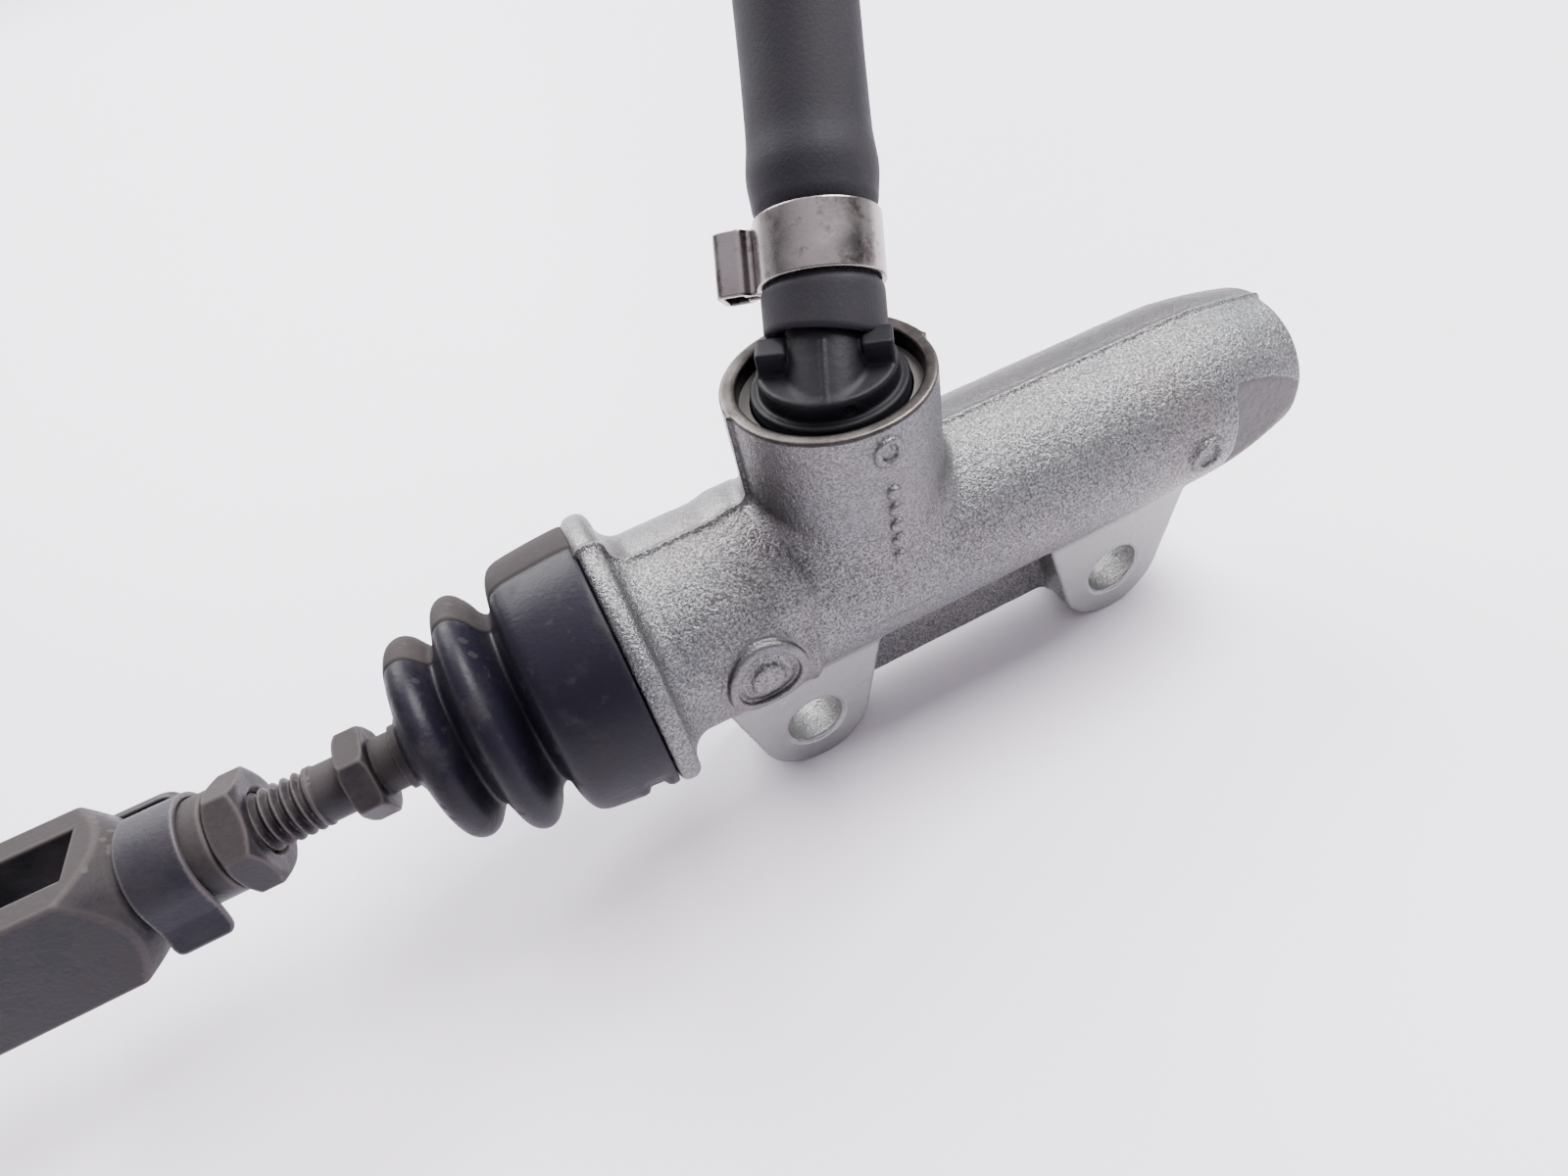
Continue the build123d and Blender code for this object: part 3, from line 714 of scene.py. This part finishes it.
def elbow_field(x, y, z):
    ahead, across, along, above = elbow_axes(x, y, z)
    boss_r = np.hypot(x, y)
    trunk_r = np.hypot(across, above)
    trunk = trim(trunk_r - TRUNK_R, slab(along, -1.0, 5.3), 0.2)
    trunk = np.minimum(trunk, np.hypot(trunk_r, along) - TRUNK_R)
    spigot = trim(trunk_r - 3.4, slab(along, 0, 22.0), 0.4)
    # a half-round fairing slopes from the disc's front edge up to the hose
    behind = ahead + 5.75 - (z - DISC_TOP) * 1.75
    fairing = (np.hypot(across / 3.4, np.minimum(behind - 5.0, 0) / 5.0) - 1) * 3.0
    fairing = np.maximum(fairing, np.maximum(z - 25.6, 20.5 - z))
    fairing = np.maximum(fairing, np.maximum(ahead - 2.0, boss_r - 6.1))
    d = weld(elbow_base(z, boss_r), weld(trunk, fairing, 0.6), 0.35)
    # a thin rib down the fairing's middle, and an ear on each side
    rib = np.maximum(np.abs(across) - 0.16, -0.18 - behind)
    rib = np.maximum(rib, np.maximum(np.maximum(ahead + 1.0, boss_r - 6.1), behind - 1.5))
    d = weld(d, rib, 0.25)
    ear = box_field(ahead, np.abs(across), z, EAR_LOW, EAR_HIGH, 0.3)
    d = weld(d, trim(ear, boss_r - DISC_R, 0.2), 0.3)
    d = np.minimum(d, spigot)
    dimple = np.sqrt((ahead + 5.9) ** 2 + (across - 1.9) ** 2 + (z - 21.0) ** 2) - 0.42
    d = cut(d, dimple, 0.06)
    return cut(d, np.maximum(trunk_r - ELBOW_BORE_R, -along), 0.2)


def make_elbow():
    elbow = field_object("elbow_moulding", elbow_field, (-9, -9, 8.6), (11.5, 16.5, 36.5), 0.17)
    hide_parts("inlet_elbow")
    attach(elbow, "elbow_group")
    return elbow


# ---- Hose ----------------------------------------------------------------------------------

FINE_LENGTH = 26
BARB_AT = 13.6
ASKEW = 1.5
DENT_REACH = 9.8


def curve_of(name, points):
    """A smooth curve of one open spline with those control points, in millimetres in the frame."""
    data = bpy.data.curves.new(name, "CURVE")
    data.dimensions = "3D"
    data.resolution_u = 24
    spline = data.splines.new("NURBS")
    spline.points.add(len(points) - 1)
    for point, place in zip(spline.points, points):
        point.co = (*(Vector(place) * MM), 1)
    spline.order_u = 3
    spline.use_endpoint_u = True
    obj = bpy.data.objects.new(name, data)
    bpy.context.scene.collection.objects.link(obj)
    return obj


def hose_line():
    """The points that the hose's centre follows, in metres in the frame."""
    guide = curve_of("hose_guide", HOSE_ROUTE)
    bpy.context.view_layer.update()
    mesh = bpy.data.meshes.new_from_object(guide)
    line = np.array([v.co for v in mesh.vertices])
    bpy.data.objects.remove(guide)
    return line


def hose_stations(length):
    """Distances up the hose: close together by the clamp, the barb and the far end."""
    stations = [0.0]
    while stations[-1] < length:
        fine = stations[-1] < FINE_LENGTH or stations[-1] > length - 14
        stations.append(stations[-1] + (0.25 if fine else 0.8))
    stations[-1] = length
    return np.array(stations)


def hose_radius(s):
    """The hose's radius: squeezed by the clamp, and swollen over the barb above it."""
    squeezed = smooth_step(3.3, 4.3, s) * (1 - smooth_step(9.4, 11.0, s))
    swollen = np.exp(-((s - BARB_AT) / 2.2) ** 2)
    radius = HOSE_R + 0.02 - 0.45 * squeezed + 0.34 * swollen - 0.06 * smooth_step(17, 24, s)
    radius[0] -= 0.25
    return radius


def askew_cut(normals):
    """How much further each point of the lower end reaches down: more on one side of the hose."""
    sideways = np.array([-HEAD_Y, HEAD_X, 0])
    angle = np.arccos(np.clip(normals @ sideways, -1, 1))
    share = 0.5 - 0.5 * np.sin(np.clip(angle - math.pi / 2, -math.pi / 2, math.pi / 2))
    return ASKEW - ASKEW * share


def hose_points(line, around):
    """Rings of points up the hose's outside and back down its bore, in metres in the frame."""
    gone = np.concatenate([[0], np.cumsum(np.linalg.norm(np.diff(line, axis=0), axis=1))])
    s = hose_stations(gone[-1] / MM)
    centre = np.stack([np.interp(s, gone / MM, line[:, c]) for c in range(3)], 1)
    tangent = np.gradient(centre, axis=0)
    tangent /= np.linalg.norm(tangent, axis=1)[:, None]
    side = np.cross(tangent, (0, 0, 1))
    side /= np.linalg.norm(side, axis=1)[:, None]
    up = np.cross(side, tangent)
    angle = np.linspace(0, 2 * math.pi, around, endpoint=False)
    radius = hose_radius(s)
    normals = side[:, None, :] * np.cos(angle)[None, :, None] + up[:, None, :] * np.sin(angle)[None, :, None]
    reach = askew_cut(normals[0])
    rings = []
    for k in range(len(s)):
        slide = -tangent[k] * reach[:, None] * max(0.0, 1 - s[k] / 4.0) * MM
        rings.append(centre[k] + normals[k] * radius[k] * MM + slide)
    for k in range(len(s) - 1, -1, -1):
        rings.append(centre[k] + normals[k] * HOSE_BORE_R * MM)
    return np.concatenate(rings), len(rings)


def make_hose(line):
    around = 120
    points, rings = hose_points(line, around)
    # the lower edge rests dented on the boss's rim
    floor = AXIS.z + (BOSS_TOP + 0.3) * MM
    away = np.hypot(points[:, 0] - AXIS.x, points[:, 1] - AXIS.y)
    points[(points[:, 2] < floor) & (away < DENT_REACH * MM), 2] = floor
    faces = ring_faces(rings, around)
    obj = mesh_object("hose_rubber", (points - np.array(AXIS)) / MM, faces[:, ::-1])
    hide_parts("feed_hose")
    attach(obj, "elbow_group")
    return obj


# ---- Clamp on the elbow ----------------------------------------------------------------------

CLAMP_R = 5.2
CLAMP_WIDTH = 5.8
CLAMP_HALF = 0.275


def clamp_field(x, y, z):
    """A one-ear clamp round z, its folded ear towards +x."""
    mid = CLAMP_R + CLAMP_HALF
    r = np.hypot(x, y)
    band = trim(np.abs(r - mid) - CLAMP_HALF, slab(z, 0, CLAMP_WIDTH), 0.12)
    # the ear: a pinched loop of the same strip
    head = np.hypot(np.maximum(np.abs(x - mid - 2.45) - 0.75, 0), np.maximum(np.abs(y) - 0.85, 0))
    loop = np.abs(head - 0.55) - CLAMP_HALF
    legs = np.maximum(np.abs(np.abs(y) - 0.75) - CLAMP_HALF, slab(x, mid, mid + 1.5))
    loop = np.where((x < mid + 1.7) & (np.abs(y) < 0.9), np.maximum(loop, 1.5 + mid - x), loop)
    ear = weld(loop, legs, 0.25)
    ear = trim(ear, slab(z, 0.0, CLAMP_WIDTH), 0.14)
    return weld(band, ear, 0.3)


def clamp_place():
    """The clamp's own frame in the drawing's frame, from the CAD clamp's points: z runs along
    the hose from the band's lower edge, and x points to the points furthest out, the ear's."""
    points = node_points("hose_clamp")
    band_axis = np.array(ALONG)
    heights = points @ band_axis
    rim = points[np.abs(heights - heights.min()) < 0.05]
    # centre of the band: the middle of the rim points that lie on the inner circle
    guess = rim.mean(0)
    for _ in range(60):
        away = np.linalg.norm(rim - guess, axis=1)
        d = rim[away < CLAMP_R + 0.3] - guess
        away = np.linalg.norm(d, axis=1)
        guess = guess + (d * (1 - CLAMP_R / np.maximum(away, 1e-6))[:, None]).mean(0)
    out = rim - guess
    ear = out[np.linalg.norm(out, axis=1) > CLAMP_R + 3.0].mean(0)
    ear -= band_axis * (ear @ band_axis)
    ear /= np.linalg.norm(ear)
    across = np.cross(band_axis, ear)
    rows = [(ear[c], across[c], band_axis[c], guess[c]) for c in range(3)]
    return Matrix((*rows, (0, 0, 0, 1)))


def make_clamp():
    """A detailed clamp where the CAD clamp is, turned as it is."""
    place = clamp_place()
    low = (-CLAMP_R - 1.2, -CLAMP_R - 1.2, -0.6)
    high = (CLAMP_R + 4.4 + 0.6, CLAMP_R + 1.2, CLAMP_WIDTH + 0.6)
    points, faces = surface(clamp_field, low, high, 0.13)
    turned = points @ np.array(place.to_3x3()).T + np.array(place.translation)
    obj = mesh_object("clamp_band", turned, faces)
    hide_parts("hose_clamp")
    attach(obj, "elbow_group")
    return obj


# ---- Return spring ---------------------------------------------------------------------------


def make_spring():
    """The return spring's own shape, copied from its CAD node's triangles as a piece of its own."""
    mesh = frame["nodes"]["return_spring"].data
    mesh.calc_loop_triangles()
    faces = np.array([face.vertices[:] for face in mesh.loop_triangles])
    spring = mesh_object("spring_wire", node_points("return_spring"), faces)
    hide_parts("return_spring")
    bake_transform(spring)
    return spring


# ---- Materials ---------------------------------------------------------------------------------

# the mix node's sockets for colours
SHARE_IN, FIRST_IN, SECOND_IN, COLOR_OUT = 0, 6, 7, 2


class Finish:
    """A material with short calls for its nodes."""

    def __init__(self, name, **sockets):
        self.material = bpy.data.materials.new(name)
        self.material.use_nodes = True
        self.tree = self.material.node_tree
        self.shader = self.tree.nodes["Principled BSDF"]
        self.place = self.node("ShaderNodeTexCoord").outputs["Object"]
        for key, value in sockets.items():
            socket = key.replace("_", " ").title().replace("Ior", "IOR")
            self.shader.inputs[socket].default_value = value

    def node(self, kind, **settings):
        n = self.tree.nodes.new(kind)
        for key, value in settings.items():
            setattr(n, key, value)
        return n

    def link(self, source, target):
        self.tree.links.new(source, target)

    def noise(self, scale, detail=3.0, roughness=0.55):
        n = self.node("ShaderNodeTexNoise")
        n.inputs["Scale"].default_value = scale
        n.inputs["Detail"].default_value = detail
        n.inputs["Roughness"].default_value = roughness
        self.link(self.place, n.inputs["Vector"])
        return n.outputs["Fac"]

    def ramp(self, value, stops):
        """A colour or a grey for each value, from stops of (value, colour or grey)."""
        n = self.node("ShaderNodeValToRGB")
        while len(n.color_ramp.elements) < len(stops):
            n.color_ramp.elements.new(0.5)
        for element, (at, color) in zip(n.color_ramp.elements, stops):
            element.position = at
            element.color = (*color, 1) if isinstance(color, tuple) else (color, color, color, 1)
        self.link(value, n.inputs["Fac"])
        return n.outputs["Color"]

    def math(self, operation, a, b=None, clamp=False):
        n = self.node("ShaderNodeMath", operation=operation, use_clamp=clamp)
        for k, value in enumerate((a, b)):
            if value is None:
                continue
            if isinstance(value, (int, float)):
                n.inputs[k].default_value = value
            else:
                self.link(value, n.inputs[k])
        return n.outputs[0]

    def mix(self, share, a, b):
        """Colour a where share is 0, and colour b where it is 1."""
        n = self.node("ShaderNodeMix", data_type="RGBA")
        for key, value in ((SHARE_IN, share), (FIRST_IN, a), (SECOND_IN, b)):
            if isinstance(value, (int, float)):
                n.inputs[key].default_value = value
            elif isinstance(value, tuple):
                n.inputs[key].default_value = (*value, 1)
            else:
                self.link(value, n.inputs[key])
        return n.outputs[COLOR_OUT]

    def mask(self, name):
        n = self.node("ShaderNodeAttribute", attribute_name=name)
        return n.outputs["Fac"]

    def bump(self, height, distance):
        n = self.node("ShaderNodeBump")
        n.inputs["Distance"].default_value = distance
        self.link(height, n.inputs["Height"])
        self.link(n.outputs["Normal"], self.shader.inputs["Normal"])

    def set(self, socket, source):
        self.link(source, self.shader.inputs[socket])

    def on(self, *objects):
        for obj in objects:
            obj.data.materials.clear()
            obj.data.materials.append(self.material)


def cast_aluminium():
    """Sand-cast skin of dark pits and bright facets, smoother and plainer where it is calm."""
    cool, warm = (0.138, 0.142, 0.147), (0.152, 0.143, 0.145)
    cool_facet, warm_facet = (0.34, 0.35, 0.36), (0.365, 0.35, 0.352)
    pit, shaded, cavity_shade_grey = (0.05, 0.05, 0.05), (0.075, 0.072, 0.074), (0.018, 0.017, 0.017)
    stain, cut_metal, machined_painted_light_grey = (0.05, 0.045, 0.042), (0.105, 0.096, 0.091), (0.45, 0.45, 0.45)
    facet_share = 0.62
    f = Finish("cast_aluminium", metallic=1.0)
    machined, calm, bright, shade = (f.mask(name) for name in ("machined", "calm", "bright", "shade"))
    grain = f.noise(4200, 2, 0.8)
    coarse = f.noise(1500, 2, 0.6)
    zone = f.ramp(f.noise(75, 3), [(0.38, 0.0), (0.62, 1.0)])
    base = f.mix(zone, cool, warm)
    facets = f.ramp(grain, [(0.36, 0.0), (0.50, 0.4), (0.62, 1.0)])
    spotted = f.mix(facets, pit, f.mix(zone, cool_facet, warm_facet))
    base = f.mix(f.math("MULTIPLY", facet_share, f.math("SUBTRACT", 1.0, calm)), base, spotted)
    base = f.mix(shade, base, shaded)
    worn = f.mix(f.ramp(f.noise(420, 5, 0.7), [(0.38, 0.0), (0.66, 1.0)]), stain, cut_metal)
    # painted shade: the boss's cavity wall below the rim takes a near-black grey
    base = f.mix(f.mask("painted_cavity_shade"), f.mix(machined, base, worn), cavity_shade_grey)
    # painted light: the lugs' machined faces and hole walls are lightened towards a pale grey
    f.set("Base Color", f.mix(bright, base, machined_painted_light_grey))
    rough = f.ramp(grain, [(0.35, 0.55), (0.65, 0.30)])
    f.set("Roughness", f.mix(machined, rough, (0.38, 0.38, 0.38)))
    height = f.math("ADD", f.math("MULTIPLY", grain, 0.6), f.math("MULTIPLY", coarse, 0.6))
    height = f.math("MULTIPLY", height, f.math("SUBTRACT", 1.0, machined))
    height = f.math("MULTIPLY", height, f.math("SUBTRACT", 1.0, f.math("MULTIPLY", calm, 0.75)))
    fine = f.math("MULTIPLY", f.noise(5000, 2), 0.08)
    f.bump(f.math("ADD", height, fine), 0.24 * MM)
    return f


def rubber(name, color, dust, roughness):
    """Matt rubber with some dust in patches and flecks."""
    amount = 0.5
    f = Finish(name, specular_ior_level=0.28)
    patch = f.noise(160, 5, 0.65)
    fleck = f.noise(900, 3, 0.6)
    share = f.math("MULTIPLY", f.ramp(patch, [(0.46, 0.0), (0.72, 1.0)]), amount)
    flecks = f.math("MULTIPLY", f.ramp(fleck, [(0.6, 0.0), (0.72, 1.0)]), amount * 0.4)
    share = f.math("ADD", share, flecks, True)
    f.set("Base Color", f.mix(share, color, dust))
    f.set("Roughness", f.ramp(patch, [(0.3, roughness), (0.7, roughness + 0.18)]))
    f.bump(f.noise(3000, 3), 0.03 * MM)
    return f


def boot_rubber():
    """Black rubber; dust lies on the side above the mould's seam and in patches elsewhere."""
    black, dust, groove = (0.007, 0.006, 0.012), (0.046, 0.039, 0.037), (0.004, 0.004, 0.004)
    f = Finish("boot_rubber", specular_ior_level=0.18)
    patch = f.noise(150, 5, 0.65)
    fleck = f.noise(800, 4, 0.6)
    over = f.mask("over")
    share = f.math("MULTIPLY", f.ramp(patch, [(0.50, 0.0), (0.72, 1.0)]), 0.3)
    share = f.math("ADD", share, f.math("MULTIPLY", f.ramp(fleck, [(0.60, 0.0), (0.70, 1.0)]), 0.2))
    crest = f.ramp(f.node("ShaderNodeNewGeometry").outputs["Pointiness"], [(0.51, 0.0), (0.56, 0.3)])
    share = f.math("ADD", f.math("ADD", share, crest), f.math("MULTIPLY", over, 0.6), True)
    base = f.mix(share, black, dust)
    f.set("Base Color", f.mix(f.math("MULTIPLY", f.mask("seam"), 0.9, True), base, groove))
    f.set("Roughness", f.ramp(share, [(0.0, 0.42), (0.6, 0.85)]))
    f.bump(f.noise(2500, 3), 0.03 * MM)
    return f


def dark_steel(name, color, dust, amount=1.0):
    """Dark steel, dusty in patches; what faces up is lighter, partly dust and partly painted light from above, and
    the edges are worn lighter.
    """
    f = Finish(name, metallic=0.25, specular_ior_level=0.3)
    patch = f.noise(210, 5, 0.62)
    fleck = f.noise(1600, 4, 0.65)
    shape = f.node("ShaderNodeNewGeometry")
    parts = f.node("ShaderNodeSeparateXYZ")
    f.link(shape.outputs["Normal"], parts.inputs[0])
    # partly painted light: faces turned up are lightened as if lit from above, as well as dusty
    up = f.ramp(parts.outputs["Z"], [(0.25, 0.0), (0.9, 0.9)])
    edge = f.ramp(shape.outputs["Pointiness"], [(0.502, 0.0), (0.53, 0.9)])
    share = f.math("MULTIPLY", f.ramp(patch, [(0.42, 0.0), (0.70, 0.7)]), amount)
    share = f.math("ADD", share, f.math("MULTIPLY", up, amount), True)
    share = f.math("MULTIPLY", share, f.ramp(fleck, [(0.3, 0.7), (0.6, 1.0)]))
    worn = tuple(1.7 * c for c in dust)
    f.set("Base Color", f.mix(edge, f.mix(share, color, dust), worn))
    f.set("Roughness", f.ramp(share, [(0.1, 0.44), (0.9, 0.75)]))
    f.bump(f.noise(2200, 4), 0.04 * MM)
    return f


def plain_metal(name, color, roughness, stain=0.0):
    """Bare metal, a little duller in patches, with brown spots where stain is over 0."""
    f = Finish(name, metallic=1.0)
    patch = f.noise(300, 5, 0.65)
    dull = tuple(0.85 * c for c in color)
    base = f.mix(f.ramp(patch, [(0.35, 0.0), (0.65, 1.0)]), dull, color)
    spots = f.math("MULTIPLY", f.ramp(f.noise(420, 6, 0.7), [(0.54, 0.0), (0.64, 1.0)]), stain)
    f.set("Base Color", f.mix(spots, base, (0.10, 0.08, 0.075)))
    f.set("Roughness", f.ramp(patch, [(0.3, roughness - 0.06), (0.7, roughness + 0.08)]))
    f.bump(f.noise(2500, 2), 0.01 * MM)
    return f


def black_plastic():
    """Moulded black plastic, faintly uneven in colour and gloss."""
    f = Finish("black_plastic", specular_ior_level=0.12)
    patch = f.noise(260, 4, 0.6)
    f.set("Base Color", f.mix(patch, (0.003, 0.003, 0.006), (0.012, 0.011, 0.013)))
    f.set("Roughness", f.ramp(patch, [(0.3, 0.42), (0.7, 0.58)]))
    f.bump(f.noise(1500, 3), 0.03 * MM)
    return f


# ---- Stage -------------------------------------------------------------------------------------

TABLE_HALF = 8.0
TABLE_DROP = 0.1 * MM
# the surroundings' colour by height: a pale backdrop low down, dark above it, and bright overhead
SURROUNDINGS = [(0.20, (0.55, 0.535, 0.565)), (0.32, (0.036, 0.034, 0.038)), (0.58, (0.20, 0.188, 0.21)),
                (1.0, (0.96, 0.88, 1.0))]
SURROUNDINGS_STRENGTH = 1.7
# each light's place and size in metres, and its power in watts
LIGHTS = [((0.45, 0.10, 0.72), 0.5, 21.0), ((-0.15, 0.65, 0.5), 0.6, 15.0)]


def make_table():
    size = TABLE_HALF
    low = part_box("cylinder_body")[0].z - TABLE_DROP
    mesh = bpy.data.meshes.new("table")
    corners = [(-size, -size, low), (size, -size, low), (size, size, low), (-size, size, low)]
    mesh.from_pydata(corners, [], [(0, 1, 2, 3)])
    table = bpy.data.objects.new("table", mesh)
    bpy.context.scene.collection.objects.link(table)
    f = Finish("table", roughness=0.45)
    f.set("Base Color", f.mix(f.noise(12, 3), (0.87, 0.82, 0.89), (0.90, 0.85, 0.92)))
    f.on(table)


def make_surroundings():
    world = bpy.data.worlds.new("world")
    bpy.context.scene.world = world
    world.use_nodes = True
    tree = world.node_tree
    coord = tree.nodes.new("ShaderNodeTexCoord")
    parts = tree.nodes.new("ShaderNodeSeparateXYZ")
    ramp = tree.nodes.new("ShaderNodeValToRGB")
    tree.links.new(coord.outputs["Generated"], parts.inputs[0])
    tree.links.new(parts.outputs["Z"], ramp.inputs["Fac"])
    while len(ramp.color_ramp.elements) < len(SURROUNDINGS):
        ramp.color_ramp.elements.new(0.5)
    for element, (height, color) in zip(ramp.color_ramp.elements, SURROUNDINGS):
        element.position = height
        element.color = (*color, 1)
    tree.links.new(ramp.outputs["Color"], tree.nodes["Background"].inputs["Color"])
    tree.nodes["Background"].inputs["Strength"].default_value = SURROUNDINGS_STRENGTH


def make_lights():
    """Square soft lights, each turned to face the frame's origin."""
    for k, (place, size, power) in enumerate(LIGHTS):
        data = bpy.data.lights.new(f"soft_{k}", "AREA")
        data.size = size
        data.energy = power
        light = bpy.data.objects.new(f"soft_{k}", data)
        light.location = place
        light.rotation_euler = (-Vector(place)).to_track_quat("-Z", "Y").to_euler()
        bpy.context.scene.collection.objects.link(light)


# ---- Everything put together ----------------------------------------------------------------------

def nodes(*names):
    return [frame["nodes"][name] for name in names]


housing = make_housing()
boot = make_boot()
spring = make_spring()
rod, nut, fork = make_rod_side()
clip, pin = make_clip()
elbow = make_elbow()
route = hose_line()
hose = make_hose(route)
near_clamp = make_clamp()

cast_aluminium().on(housing)
boot_rubber().on(boot)
rubber("hose_rubber", (0.011, 0.010, 0.015), (0.030, 0.025, 0.025), 0.6).on(hose)
dark_steel("dark_steel", (0.006, 0.0055, 0.010), (0.036, 0.030, 0.030)).on(rod, nut, fork)
dark_steel("clip_steel", (0.008, 0.0075, 0.016), (0.045, 0.040, 0.042), 0.4).on(clip)
plain_metal("stainless", (0.31, 0.285, 0.275), 0.26, 0.7).on(near_clamp, *nodes("reservoir_end_clamp"))
plain_metal("bright_steel", (0.55, 0.55, 0.56), 0.32).on(
    pin, spring, *nodes("stop_washer", "cup_washer", "spring_seat"))
plain_metal("turned_aluminium", (0.72, 0.72, 0.73), 0.28).on(*nodes("piston"))
black_plastic().on(elbow)
dark_steel("ring_steel", (0.03, 0.03, 0.03), (0.08, 0.075, 0.07)).on(
    *nodes("elbow_circlip", "retaining_ring"))
rubber("seal_rubber", (0.012, 0.012, 0.012), (0.03, 0.03, 0.03), 0.4).on(
    *nodes("elbow_o_ring", "primary_cup", "secondary_cup"))
make_table()
make_surroundings()
make_lights()
